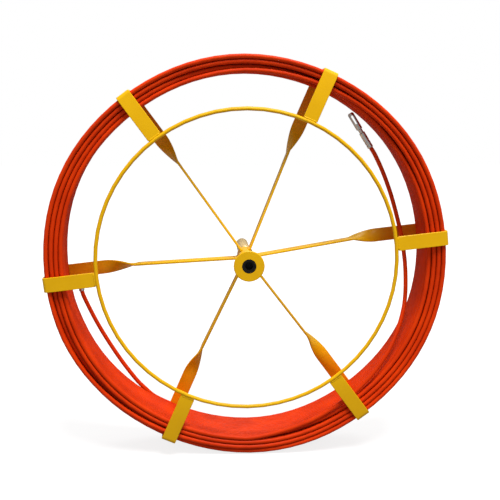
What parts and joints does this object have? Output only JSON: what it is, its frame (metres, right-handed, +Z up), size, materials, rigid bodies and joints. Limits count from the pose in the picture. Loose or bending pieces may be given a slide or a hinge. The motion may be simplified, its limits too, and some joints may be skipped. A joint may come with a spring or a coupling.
{
  "type": "conduit rod reel",
  "caption": "Spinning cage reel of bent steel straps on a hand-held spindle, carrying a coil of round fibreglass pulling rod with a swivelling pulling eye.",
  "frame": {"origin": "On the spin axis, at the middle of the cage's depth", "axes": "+Y along the spin axis towards the handle, +Z up, +X to the right seen from the open front, which faces -Y"},
  "size_m": [0.4056, 0.1516, 0.4052],
  "materials": {
    "yellow_paint": "gloss",
    "fibreglass_rod": "satin",
    "black_polymer": "matte",
    "plated_steel": "plated",
    "bare_tube": "satin"
  },
  "bodies": {
    "spindle": {"spindle": "bare_tube", "spindle_plug": "black_polymer", "thrust_washer": "plated_steel"},
    "reel": {"hub_flange": "yellow_paint", "hub_tube": "yellow_paint", "front_bush": "black_polymer", "rear_bush": "black_polymer", "arm_1": "yellow_paint", "arm_2": "yellow_paint", "arm_3": "yellow_paint", "arm_4": "yellow_paint", "arm_5": "yellow_paint", "arm_6": "yellow_paint", "front_ring": "yellow_paint", "rod_core": "fibreglass_rod", "rod_winding": "fibreglass_rod", "rod_lead": "fibreglass_rod", "rod_tail": "fibreglass_rod", "tip_ferrule": "plated_steel", "swivel_pin": "plated_steel", "tail_ferrule": "plated_steel"},
    "eye": {"pulling_eye": "plated_steel"}
  },
  "joints": [
    {"name": "reel_spin", "type": "hinge", "parent": "spindle", "child": "reel", "pos_m": [0, 0, 0], "axis": [0, 1, 0], "continuous": true},
    {"name": "eye_swivel", "type": "hinge", "parent": "reel", "child": "eye", "pos_m": [0.11527, -0.0068, 0.12994], "axis": [-0.5364, 0, 0.844], "continuous": true}
  ]
}
